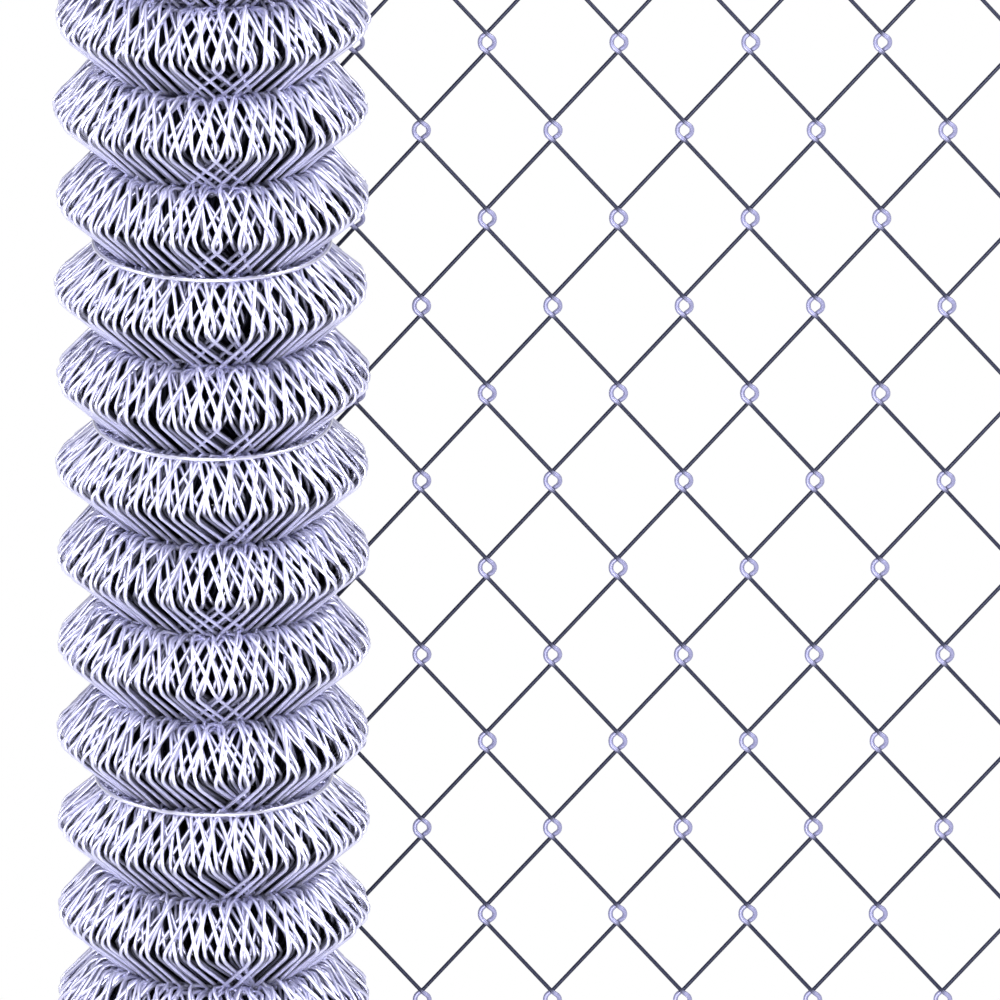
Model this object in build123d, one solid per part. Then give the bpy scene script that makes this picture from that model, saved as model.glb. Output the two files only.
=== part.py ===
"""Roll of galvanised chain-link fencing standing on its end, with its loose end drawn out flat.

Millimetres, +Z up, floor at Z = 0. The roll's axis is Z and the loose end runs to +X along the back of the roll.
"""

import os
from math import atan2, cos, pi, sin, sqrt

from build123d import *

# Mesh of the fence
fence_height = 815.0
mesh_size = 50.0
row_count = 16
knot_height = 10.2
loop_reach = 3.9
loop_side_share = 0.44
loop_depth_share = 0.6
knuckle_reach_share = 1.1
knuckle_depth_share = 1.6
knuckle_height_share = 0.24

# Wire
wire_diameter = 2.2
wire_sides = 5
clearance = 0.3

# Wound part of the fence
ridge_radius = 83.5
valley_radius = 61.0
ridge_land = 4.0
ridge_spread_share = 1.0135
ridge_start_share = 0.158
bore_radius = 25.0
turn_count = 3
turn_bends = 12
turn_groove_width = 3.5
turn_groove_depth = 4.0
turn_rim = 3.0

# Loose end of the fence
loose_picket_count = 12
loose_start = 5.7

# Tie wires, each in the valley above the ridge of that number
tie_ridges = (11, 9, 5)
tie_diameter = 2.5
tie_ring_steps = 24
tie_twist_steps = 6
tie_twist_turns = 1
tie_lead_share = 1.8
tie_base_share = 1.2
tie_azimuth_share = 0.375

# Sizes that follow
picket_spacing = mesh_size / sqrt(2)
wire_radius = wire_diameter / 2
weave_depth = (wire_diameter + clearance) / 2
first_row = knot_height / 2 + wire_diameter
row_spacing = (fence_height - 2 * first_row) / row_count
ridge_spacing = row_spacing * ridge_spread_share
first_ridge = -ridge_spacing * ridge_start_share
seat_radius = ridge_radius + clearance + wire_radius
sheet_depth = sqrt(seat_radius**2 - loose_start**2) + weave_depth
flank_rise = (ridge_spacing - ridge_land) / 2
flank_depth = ridge_radius - valley_radius
tie_radius = tie_diameter / 2
tie_ring_radius = valley_radius + (tie_radius + clearance) / sin(atan2(flank_rise, flank_depth))
tie_strand_offset = (tie_diameter + clearance) / 2
tie_base_radius = tie_ring_radius + tie_base_share * tie_diameter
tie_tip_radius = ridge_radius - tie_diameter
tie_azimuth = 2 * pi * tie_azimuth_share


def bent_wire(points, radius):
    """One wire of few-sided section along a bent centre line."""
    line = Polyline(*points)
    section = Plane(origin=line @ 0, z_dir=line % 0) * RegularPolygon(radius, wire_sides)
    return sweep(section, path=line, transition=Transition.RIGHT)


def outline_radius(height):
    """Radius of the wound part at a height, between its ridges and its valleys."""
    from_ridge = abs((height - first_ridge + ridge_spacing / 2) % ridge_spacing - ridge_spacing / 2)
    down_flank = max(0, from_ridge - ridge_land / 2) / flank_rise
    return ridge_radius - flank_depth * down_flank


def turn_spiral(end_radius):
    """Spiral band, straight between the wires that it passes, that marks the turns on an end of the roll."""
    start = bore_radius + turn_rim + turn_groove_width / 2
    end = end_radius - turn_rim - turn_groove_width / 2
    points = []
    for bend in range(turn_count * turn_bends + 1):
        along = bend / (turn_count * turn_bends)
        radius = start + (end - start) * along
        angle = 2 * pi * turn_count * along
        points.append((radius * cos(angle), radius * sin(angle)))
    return trace(Polyline(*points), turn_groove_width)


def rolled_mesh():
    """Wound turns as one turned solid: a ridge at each row of bends, the bore, and the turns on both ends."""
    outline = []
    for ridge in range(-1, row_count + 2):
        height = first_ridge + ridge * ridge_spacing
        outline.append((ridge_radius, height - ridge_land / 2))
        outline.append((ridge_radius, height + ridge_land / 2))
        outline.append((valley_radius, height + ridge_spacing / 2))
    outline.append((bore_radius, outline[-1][1]))
    outline.append((bore_radius, outline[0][1]))
    window = Pos(ridge_radius / 2, fence_height / 2) * Rectangle(ridge_radius, fence_height)
    profile = make_face(Polyline(*outline, close=True)) & window
    roll = revolve(Plane.XZ * profile, Axis.Z)
    lower_radius = min(outline_radius(0), outline_radius(turn_groove_depth))
    upper_radius = min(outline_radius(fence_height), outline_radius(fence_height - turn_groove_depth))
    lower_turns = extrude(turn_spiral(lower_radius), turn_groove_depth)
    upper_turns = extrude(turn_spiral(upper_radius), -turn_groove_depth)
    return roll - lower_turns - Pos(0, 0, fence_height) * upper_turns


def loose_picket(number):
    """One zigzag wire of the loose end, hooked through its neighbours and knuckled at both ends."""
    loop_side = knot_height * loop_side_share / 2
    loop_depth = weave_depth * loop_depth_share
    tip_reach = loop_reach * knuckle_reach_share
    tip_depth = weave_depth * knuckle_depth_share
    tip_height = knot_height * knuckle_height_share
    centre = loose_start + (number + 1 / 2) * picket_spacing
    points = []
    for row in range(row_count + 1):
        hand = 1 - 2 * ((number + row) % 2)
        x = centre + hand * picket_spacing / 2
        z = first_row + row * row_spacing
        if row == 0:
            points.append((x - hand * tip_reach, sheet_depth + hand * tip_depth, z - tip_height))
        points.append((x, sheet_depth + hand * weave_depth, z - knot_height / 2))
        points.append((x + hand * loop_reach, sheet_depth + hand * loop_depth, z - loop_side))
        points.append((x + hand * loop_reach, sheet_depth - hand * loop_depth, z + loop_side))
        points.append((x, sheet_depth - hand * weave_depth, z + knot_height / 2))
        if row == row_count:
            points.append((x - hand * tip_reach, sheet_depth - hand * tip_depth, z + tip_height))
    return bent_wire(points, wire_radius)


def tie_point(radius, azimuth, sideways, height):
    """Point beside the roll's axis, moved sideways along the turn."""
    x = radius * cos(azimuth) - sideways * sin(azimuth)
    y = radius * sin(azimuth) + sideways * cos(azimuth)
    return (x, y, height)


def twisted_end(strand, height):
    """One of a tie's two ends, from its tip in to the ring, twisted round the other end."""
    points = []
    for step in range(tie_twist_steps + 1):
        along = step / tie_twist_steps
        turn = 2 * pi * tie_twist_turns * (1 - along)
        radius = tie_tip_radius + (tie_base_radius - tie_tip_radius) * along
        sideways = strand * tie_strand_offset * cos(turn)
        up = strand * tie_strand_offset * sin(turn)
        points.append(tie_point(radius, tie_azimuth, sideways, height + up))
    return points


def tie_wire(ridge):
    """Binding wire pulled round the roll in a valley, its ends twisted together at the back."""
    height = first_ridge + (ridge + 1 / 2) * ridge_spacing
    lead = atan2(tie_lead_share * tie_diameter, tie_ring_radius)
    step_angle = 2 * (pi - lead) / tie_ring_steps
    corner_radius = tie_ring_radius / cos(step_angle / 2)
    points = twisted_end(1, height)
    for step in range(tie_ring_steps + 1):
        points.append(tie_point(corner_radius, tie_azimuth + lead + step * step_angle, 0, height))
    points.extend(reversed(twisted_end(-1, height)))
    return bent_wire(points, tie_radius)


os.makedirs("parts", exist_ok=True)
export_step(rolled_mesh(), "parts/rolled_mesh.step")
for number in range(loose_picket_count):
    export_step(loose_picket(number), f"parts/loose_picket_{number + 1:02d}.step")
for place, ridge in zip(("upper", "middle", "lower"), tie_ridges):
    export_step(tie_wire(ridge), f"parts/tie_wire_{place}.step")
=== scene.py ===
"""Looks of a roll of chain-link fencing: galvanised wires wound, drawn out flat and tied, on a white floor."""

import math

import bpy
import numpy as np
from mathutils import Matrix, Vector


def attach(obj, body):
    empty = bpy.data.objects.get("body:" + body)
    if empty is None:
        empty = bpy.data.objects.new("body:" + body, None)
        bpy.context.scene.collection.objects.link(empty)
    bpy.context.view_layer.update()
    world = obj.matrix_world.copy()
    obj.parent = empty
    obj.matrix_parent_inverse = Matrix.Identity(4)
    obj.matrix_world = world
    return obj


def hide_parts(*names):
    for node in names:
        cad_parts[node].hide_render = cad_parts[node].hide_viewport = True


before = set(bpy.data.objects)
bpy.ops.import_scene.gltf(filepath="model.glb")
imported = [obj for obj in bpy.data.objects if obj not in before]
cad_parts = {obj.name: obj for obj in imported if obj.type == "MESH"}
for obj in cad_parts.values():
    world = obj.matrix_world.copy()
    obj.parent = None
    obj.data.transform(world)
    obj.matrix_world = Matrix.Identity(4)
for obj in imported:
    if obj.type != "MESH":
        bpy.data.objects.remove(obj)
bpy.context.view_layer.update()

# Sizes of the real thing, in metres
mm = 0.001
fence_height = 815 * mm
row_count = 16
picket_count = 12
picket_spacing = 50 * mm / math.sqrt(2)
wire_radius = 1.1 * mm
clearance = 0.3 * mm
knot_height = 10.2 * mm
loop_reach = 3.9 * mm
loop_side = 0.22 * knot_height
weave_depth = wire_radius + clearance / 2
loop_depth = 0.6 * weave_depth
knuckle_reach = 1.1 * loop_reach
knuckle_depth = 1.6 * weave_depth
knuckle_height = 0.24 * knot_height
first_row = knot_height / 2 + 2 * wire_radius
row_spacing = (fence_height - 2 * first_row) / row_count
ridge_spacing = 1.0135 * row_spacing
first_ridge = -0.158 * ridge_spacing
ridge_radius = 83.5 * mm
loose_start = 5.7 * mm
sheet_depth = math.sqrt((ridge_radius + clearance + wire_radius) ** 2 - loose_start ** 2) + weave_depth

# Wound wires: one zigzag, and how far its bends stray
shoulder_rise = 25 * mm
inner_rise = 16 * mm
leg_shift = 24 * mm
hook_height = 11 * mm
end_margin = 1.2 * mm
meeting_side = 0.1
meeting_shift = 0.15
ridge_slip = 1.2 * mm
spacing_stray = 0.15
side_stray = 0.15
height_stray = 0.7 * mm
tip_stray = 0.6 * mm
turn_stray = 1.2 * mm
shoulder_stray = 2 * mm
inner_stray = 1.5 * mm

# Tie wires, each in the valley above the ridge of that number
tie_places = {"upper": 11, "middle": 9, "lower": 5}
tie_radius = 1.25 * mm
tie_ring = 63.2 * mm
tie_tip = 81 * mm
tie_base = tie_ring + 3 * mm
tie_azimuth = 2 * math.pi * 0.375
tie_lead = 0.07
tie_strand_offset = 1.4 * mm
tie_twist_steps = 12
tie_ring_steps = 96
cinch_height = 7 * mm

# Seeded differences: places of the wires, their tones, and each ridge's meeting point and slip
chance = np.random.RandomState(11)
tone_chance = np.random.RandomState(5)
uneven = np.random.RandomState(3).uniform(-1, 1, (row_count, 2))


def along_corners(corners, reach, arc_steps):
    """Centre lines through corners (wires, corners, 3), each corner rounded from `reach` before it."""
    inner = corners[:, 1:-1]
    back = corners[:, :-2] - inner
    ahead = corners[:, 2:] - inner
    back_length = np.linalg.norm(back, axis=2, keepdims=True)
    ahead_length = np.linalg.norm(ahead, axis=2, keepdims=True)
    longest_cut = 0.48 * np.minimum(back_length, ahead_length)
    cut = np.minimum(reach, longest_cut)
    enter = inner + back / back_length * cut
    leave = inner + ahead / ahead_length * cut
    points = [corners[:, 0]]
    for i in range(inner.shape[1]):
        for step in range(arc_steps + 1):
            t = step / arc_steps
            points.append((1 - t) ** 2 * enter[:, i] + 2 * t * (1 - t) * inner[:, i] + t * t * leave[:, i])
    points.append(corners[:, -1])
    return np.stack(points, axis=1)


def round_wires(name, lines, radii, sides, tones):
    """One mesh of round wires, closed at both ends, along centre lines (wires, points, 3)."""
    count, steps = lines.shape[:2]
    tangent = np.gradient(lines, axis=1)
    tangent /= np.linalg.norm(tangent, axis=2, keepdims=True)
    no_wires_way = np.array([0.3, 0.2, 1.0])
    normal = np.cross(tangent[:, 0], no_wires_way)
    turn = np.arange(sides) * 2 * math.pi / sides
    rings = []
    for i in range(steps):
        t = tangent[:, i]
        normal = normal - t * np.sum(normal * t, axis=1, keepdims=True)
        normal /= np.linalg.norm(normal, axis=1, keepdims=True)
        across = np.cross(t, normal)
        ring = normal[:, None] * np.cos(turn)[None, :, None] + across[:, None] * np.sin(turn)[None, :, None]
        rings.append(lines[:, i, None] + radii[:, i, None, None] * ring)
    verts = np.stack(rings, axis=1).reshape(-1, 3)
    number = np.arange(count * steps * sides).reshape(count, steps, sides)
    near, far = number[:, :-1], number[:, 1:]
    quads = np.stack([near, np.roll(near, -1, 2), np.roll(far, -1, 2), far], axis=-1).reshape(-1, 4)
    caps = number[:, 0, ::-1].tolist() + number[:, -1].tolist()
    mesh = bpy.data.meshes.new(name)
    mesh.from_pydata(verts.tolist(), [], quads.tolist() + caps)
    mesh.shade_smooth()
    # Painted light and shade per point, with random tone on top: 0 gives the shaded colour, 1 the lit one
    painted_light_and_tone = mesh.attributes.new("painted_light_and_tone", "FLOAT", "POINT")
    painted_light_and_tone.data.foreach_set("value", np.repeat(tones.reshape(-1), sides).astype(np.float32))
    piece = bpy.data.objects.new(name, mesh)
    bpy.context.scene.collection.objects.link(piece)
    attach(piece, "root")
    return piece


def smooth(low, high, value):
    """Goes from 0 at `low` to 1 at `high` without a corner."""
    t = np.clip((value - low) / (high - low), 0, 1)
    return t * t * (3 - 2 * t)


# Wires


def loose_corners(number):
    """Corners of one flat zigzag wire, hooked through its neighbours and knuckled at both ends."""
    centre = loose_start + (number + 0.5) * picket_spacing
    corners = []
    for row in range(row_count + 1):
        hand = 1 - 2 * ((number + row) % 2)
        x = centre + hand * picket_spacing / 2
        z = first_row + row * row_spacing
        tip_x = x - hand * knuckle_reach
        if row == 0:
            corners.append((tip_x, sheet_depth + hand * knuckle_depth, z - knuckle_height))
        corners.append((x, sheet_depth + hand * weave_depth, z - knot_height / 2))
        corners.append((x + hand * loop_reach, sheet_depth + hand * loop_depth, z - loop_side))
        corners.append((x + hand * loop_reach, sheet_depth - hand * loop_depth, z + loop_side))
        corners.append((x, sheet_depth - hand * weave_depth, z + knot_height / 2))
        if row == row_count:
            corners.append((tip_x, sheet_depth - hand * knuckle_depth, z + knuckle_height))
    return np.array([corners])


def wound_corners(count, start, tip_radius, shoulder_radius, inner_radius, lean_steps, loose):
    """Corners of wound zigzag wires: up a flank, over a shoulder, down inside, then out to the next ridge."""
    numbers = np.arange(count)
    azimuth = (numbers + start + spacing_stray * chance.uniform(-1, 1, count)) * 2 * math.pi / count
    across = np.cos(azimuth) - meeting_side + side_stray * chance.uniform(-1, 1, count)
    short = np.maximum(0, leg_shift - (tip_radius - inner_radius) * np.abs(np.cos(azimuth)))
    lean = np.where(numbers % 2, 1, -1) * lean_steps * 2 * math.pi * ridge_radius / count
    out = tip_radius + loose * chance.uniform(-1, 0.5, count)
    lift = loose * chance.uniform(-1, 1, count)
    low = -end_margin
    high = fence_height + end_margin

    def place(radius, sideways, height, slip=0.0):
        angle = azimuth + sideways / ridge_radius
        x = radius * np.cos(angle) + slip
        y = radius * np.sin(angle)
        return np.stack([x, y, np.clip(height, low, high)], axis=1)

    def stray(size):
        return size * chance.uniform(-1, 1, count)

    # Hook at the lower end
    corners = [place(out - 11 * mm, lean / 2, hook_height + lift)]
    corners.append(place(out - 9 * mm, lean / 4, low + abs(lift) / 2))
    for ridge in range(row_count):
        height = first_ridge + ridge * ridge_spacing + lift + stray(height_stray)
        meet, slip = uneven[ridge] * (meeting_shift, ridge_slip)
        drawn = np.sign(across + meet) * short * np.sin(azimuth) * ridge_radius / inner_radius
        if ridge > 0:
            corners.append(place(out + stray(tip_stray), stray(turn_stray), height, slip))
        shoulder_lean = lean * chance.uniform(0.75, 1.25, count)
        radius = shoulder_radius + stray(shoulder_stray)
        shoulder_height = height + shoulder_rise + stray(shoulder_stray)
        corners.append(place(radius, shoulder_lean, shoulder_height, slip))
        corners.append(place(inner_radius + stray(2 * loose), drawn + stray(inner_stray), height + inner_rise))
        lean = -lean
    corners.append(place(out, stray(turn_stray), first_ridge + row_count * ridge_spacing + lift))
    # Hook at the upper end
    corners.append(place(out - 10 * mm, lean / 4, high - abs(lift)))
    corners.append(place(out - 12 * mm, lean / 2, fence_height - hook_height + lift))
    return np.stack(corners, axis=1)


def tie_height(ridge):
    """Height of the valley above a ridge."""
    return first_ridge + (ridge + 0.5) * ridge_spacing


def cinched(lines):
    """Pulls wound wires in under the tie wires."""
    for ridge in tie_places.values():
        radius = np.hypot(lines[..., 0], lines[..., 1])
        near = np.exp(-((lines[..., 2] - tie_height(ridge)) / cinch_height) ** 2)
        squeeze = np.minimum(1, (tie_ring - tie_radius - wire_radius) / radius)
        narrowed = 1 + (squeeze - 1) * near
        lines = lines * np.stack([narrowed, narrowed, np.ones_like(near)], axis=-1)
    return lines


def tie_corners(height):
    """Corners of one tie wire: a twisted end, once round the roll, the other twisted end."""
    out = np.array([math.cos(tie_azimuth), math.sin(tie_azimuth), 0])
    round_way = np.array([-math.sin(tie_azimuth), math.cos(tie_azimuth), 0])
    up = np.array([0, 0, 1])
    ends = []
    for strand in (1, -1):
        end = []
        for step in range(tie_twist_steps + 1):
            turn = 2 * math.pi * (1 - step / tie_twist_steps)
            radius = tie_tip + (tie_base - tie_tip) * step / tie_twist_steps
            twist = round_way * math.cos(turn) + up * math.sin(turn)
            end.append(out * radius + strand * tie_strand_offset * twist + up * height)
        ends.append(end)
    ring = []
    for step in range(tie_ring_steps + 1):
        angle = tie_azimuth + tie_lead + (2 * math.pi - 2 * tie_lead) * step / tie_ring_steps
        ring.append(np.array([tie_ring * math.cos(angle), tie_ring * math.sin(angle), height]))
    return np.array([ends[0] + ring + ends[1][::-1]])


# Loose wires: the loops are pale with a painted highlight and look a little thicker than the legs, painted
# dark as a dark reflection
loop_thickening = 0.2
loose_bend = 3.2 * mm
loose_wires = []
for number in range(picket_count):
    line = along_corners(loose_corners(number), loose_bend, 5)
    from_knot = np.abs((line[..., 2] - first_row + row_spacing / 2) % row_spacing - row_spacing / 2)
    # Painted highlight on the loops and painted dark reflection on the legs, as bends catch the light and
    # straight legs reflect dark
    painted_light_and_tone = smooth(6.5 * mm, 3.6 * mm, from_knot)
    radii = wire_radius * (1 + loop_thickening * painted_light_and_tone)
    piece = round_wires(f"loose_wire_{number + 1:02d}", line, radii, 10, painted_light_and_tone)
    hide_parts(f"loose_picket_{number + 1:02d}")
    loose_wires.append(piece)

# Layers of the roll from the outside in: name, wires, radii in mm at ridges, shoulders and inside,
# lean in wire spacings, looseness in mm, painted light above and beneath a ridge (0 is painted shade), arc
# steps, sides
layers = [
    ("wound_wires_first", 76, 85.3, 62.0, 45, 2, 1.0, 1.0, 1.0, 3, 6),
    ("wound_wires_second", 76, 82.5, 60, 42, 1, 1.2, 1.0, 0.4, 3, 6),
    ("wound_wires_third", 76, 79, 57, 40, 3, 1.5, 0.9, 0.1, 2, 5),
    ("wound_wires_fourth", 56, 71, 52, 36, 1, 2.0, 0.4, 0.0, 2, 5),
    ("wound_wires_fifth", 50, 62, 46, 33, 1, 1.5, 0.0, 0.0, 2, 4),
    ("wound_wires_sixth", 42, 54, 41, 30, 1, 1.2, 0.0, 0.0, 2, 4),
    ("wound_wires_seventh", 36, 46, 36, 28.5, 1, 0.5, 0.0, 0.0, 2, 4),
]
# Away from the ends, the inner layers, painted dark as shade, are drawn thicker than real wire, so that less
# light gets through
inner_thickening = 0.4
# Painted light near the ends of the roll, where light reaches the inner wires
painted_light_at_ends = 0.85
wound_bend = 5.5 * mm
wound_wires = []
for layer, row in enumerate(layers):
    name, count, tip, shoulder, inner, lean_steps, loose, painted_light_above, painted_light_beneath, steps, sides = row
    corners = wound_corners(count, layer / 2, tip * mm, shoulder * mm, inner * mm, lean_steps, loose * mm)
    lines = cinched(along_corners(corners, wound_bend, steps))
    radius = np.hypot(lines[..., 0], lines[..., 1])
    # Painted shade: wires beneath a ridge and deep inside the roll are darkened as if in shadow, and lifted
    # near the ends; each wire also differs a little in tone at random
    beneath_ridge = np.gradient(radius, axis=1) > 0
    above = painted_light_above * tone_chance.uniform(0.85, 1, (count, 1))
    beneath = painted_light_beneath * tone_chance.uniform(0.75, 1, (count, 1))
    near_end = smooth(70 * mm, 25 * mm, np.minimum(lines[..., 2], fence_height - lines[..., 2]))
    from_inside = smooth(30 * mm, 46 * mm, radius)
    painted_light_and_tone = np.maximum(np.where(beneath_ridge, beneath, above) * from_inside, painted_light_at_ends * near_end)
    radii = wire_radius * (1 + (0 if painted_light_above else inner_thickening) * (1 - near_end))
    piece = round_wires(name, lines, radii, sides, painted_light_and_tone)
    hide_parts("rolled_mesh")
    wound_wires.append(piece)

tie_bend = 1 * mm
tie_wires = []
for level, ridge in tie_places.items():
    line = along_corners(tie_corners(tie_height(ridge)), tie_bend, 2)
    even = np.ones(line.shape[:2])
    piece = round_wires(f"tie_{level}", line, tie_radius * even, 10, even)
    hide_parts(f"tie_wire_{level}")
    tie_wires.append(piece)


# Materials
mottle_size = 5.5556 * mm
roughness_spread = 0.1


def srgb(code):
    """Linear colour from an sRGB hex code."""
    parts = [int(code[i:i + 2], 16) / 255 for i in (1, 3, 5)]
    return [p / 12.92 if p <= 0.04045 else ((p + 0.055) / 1.055) ** 2.4 for p in parts] + [1.0]


def add(tree, kind, links=(), **values):
    """Adds a node; links pair an input with an output socket, values set inputs or properties."""
    made = tree.nodes.new(kind)
    for key, value in values.items():
        if hasattr(made, key):
            setattr(made, key, value)
        else:
            made.inputs[key.replace("_", " ")].default_value = value
    for socket, output in links:
        tree.links.new(made.inputs[socket], output)
    return made


def galvanised(name, shaded_colour, lit_colour, roughness, metal):
    """Zinc-coated steel: a cool grey metal, mottled over a few millimetres, going from a shaded to a lit
    colour with painted light and shade and some random tone.
    """
    material = bpy.data.materials.new(name)
    material.use_nodes = True
    tree = material.node_tree
    shader = tree.nodes["Principled BSDF"]
    place = add(tree, "ShaderNodeTexCoord").outputs["Object"]
    noise = add(tree, "ShaderNodeTexNoise", [("Vector", place)], Scale=1 / mottle_size, Detail=3.0)
    mottle = noise.outputs["Fac"]
    painted_light_and_tone = add(tree, "ShaderNodeAttribute", attribute_name="painted_light_and_tone").outputs["Fac"]
    colour = add(tree, "ShaderNodeMix", [("Factor", painted_light_and_tone)], data_type="RGBA")
    colour.inputs[6].default_value = srgb(shaded_colour)
    colour.inputs[7].default_value = srgb(lit_colour)
    strength = add(tree, "ShaderNodeMapRange", [("Value", mottle)], To_Min=0.82, To_Max=1.12).outputs["Result"]
    varied = add(tree, "ShaderNodeVectorMath", [(0, colour.outputs[2]), (1, strength)], operation="MULTIPLY")
    smoothest = roughness - roughness_spread
    roughest = roughness + roughness_spread
    rough = add(tree, "ShaderNodeMapRange", [("Value", mottle)], To_Min=smoothest, To_Max=roughest)
    tree.links.new(shader.inputs["Base Color"], varied.outputs["Vector"])
    tree.links.new(shader.inputs["Roughness"], rough.outputs["Result"])
    shader.inputs["Metallic"].default_value = metal
    return material


# Bright blue-white zinc on the outer wires, painted near black as shade deep inside the roll and beneath the
# ridges
wound_zinc = galvanised("galvanised steel, wound", "#14141f", "#dedef8", 0.38, 0.8)
# Duller metal: legs painted dark as a dark reflection, between loops pale with a painted highlight
loose_zinc = galvanised("galvanised steel, loose", "#1c2038", "#8c8cae", 0.42, 0.4)
# Bright and even, so that the ties stand out as pale rings
tie_zinc = galvanised("galvanised steel, tie", "#e2e2f2", "#e2e2f2", 0.3, 0.9)
for pieces, zinc in ((wound_wires, wound_zinc), (loose_wires, loose_zinc), (tie_wires, tie_zinc)):
    for piece in pieces:
        piece.data.materials.append(zinc)


def white_floor():
    """Matt white floor, seen nearly as bright as white paper, with the object's shadow left on it."""
    material = bpy.data.materials.new("white floor")
    material.use_nodes = True
    tree = material.node_tree
    shader = tree.nodes["Principled BSDF"]
    shader.inputs["Base Color"].default_value = srgb("#f6f6f6")
    shader.inputs["Roughness"].default_value = 0.9
    path = add(tree, "ShaderNodeLightPath").outputs
    direct = [(0, path["Is Camera Ray"]), (1, path["Is Glossy Ray"])]
    seen = add(tree, "ShaderNodeMath", direct, operation="ADD")
    through = [(0, seen.outputs[0]), (1, path["Is Transmission Ray"])]
    seen = add(tree, "ShaderNodeMath", through, operation="ADD")
    # Paper white away from the object, half lit by the lamps near it, where the shadow falls
    place = add(tree, "ShaderNodeTexCoord").outputs["Object"]
    centred = add(tree, "ShaderNodeMapping", [("Vector", place)], Location=(-0.17, 0, 0), Scale=(1, 2, 1))
    away = add(tree, "ShaderNodeVectorMath", [(0, centred.outputs[0])], operation="LENGTH").outputs["Value"]
    most = add(tree, "ShaderNodeMapRange", [("Value", away)], From_Min=0.3, From_Max=0.6, To_Min=0.5)
    share = add(tree, "ShaderNodeMath", [(0, seen.outputs[0]), (1, most.outputs[0])], operation="MULTIPLY")
    glow = add(tree, "ShaderNodeEmission", Color=srgb("#ffffff"), Strength=1.0)
    parts = [(0, share.outputs[0]), (1, shader.outputs["BSDF"]), (2, glow.outputs["Emission"])]
    mixed = add(tree, "ShaderNodeMixShader", parts)
    tree.links.new(tree.nodes["Material Output"].inputs["Surface"], mixed.outputs["Shader"])
    return material


# Floor, light and camera
floor_reach = 30.0
floor_mesh = bpy.data.meshes.new("floor")
floor_corners = [(x * floor_reach, y * floor_reach, 0) for x, y in ((-1, -1), (1, -1), (1, 1), (-1, 1))]
floor_mesh.from_pydata(floor_corners, [], [(0, 1, 2, 3)])
floor_mesh.materials.append(white_floor())
floor = bpy.data.objects.new("floor", floor_mesh)
bpy.context.scene.collection.objects.link(floor)

world = bpy.data.worlds.new("studio")
bpy.context.scene.world = world
world.use_nodes = True
world.node_tree.nodes["Background"].inputs["Color"].default_value = srgb("#e8e8f4")
world.node_tree.nodes["Background"].inputs["Strength"].default_value = 0.45


def soft_light(name, place, aim, size, power):
    """Square studio light that the camera doesn't see."""
    data = bpy.data.lights.new(name, "AREA")
    data.size = size
    data.energy = power
    light = bpy.data.objects.new(name, data)
    light.location = place
    light.rotation_euler = (Vector(aim) - Vector(place)).to_track_quat("-Z", "Y").to_euler()
    light.visible_camera = False
    bpy.context.scene.collection.objects.link(light)


soft_light("overhead", (-0.4, -1.4, 3.2), (0.1, 0, 0.4), 1.6, 78)
soft_light("front", (0.0, -3.0, 0.5), (0.1, 0, 0.45), 1.0, 90)
soft_light("left", (-2.4, -0.6, 1.2), (0, 0, 0.45), 1.0, 28)
soft_light("right", (2.2, -0.5, 2.2), (0.1, 0, 0.45), 1.0, 45)

# A long lens from far off, because the rows of the flat mesh hardly draw together
lens, sensor = 1000, 36
view_width = 0.5364
elevation = math.radians(20.0)
aim = Vector((0.1540, 0.0, 0.4276))
camera_data = bpy.data.cameras.new("camera")
camera_data.sensor_width = sensor
camera_data.lens = lens
camera_data.clip_end = 200
camera = bpy.data.objects.new("camera", camera_data)
bpy.context.scene.collection.objects.link(camera)
camera.location = aim + view_width * lens / sensor * Vector((0, -math.cos(elevation), math.sin(elevation)))
camera.rotation_euler = (aim - camera.location).to_track_quat("-Z", "Y").to_euler()
bpy.context.scene.camera = camera
bpy.context.scene.view_settings.view_transform = "Standard"
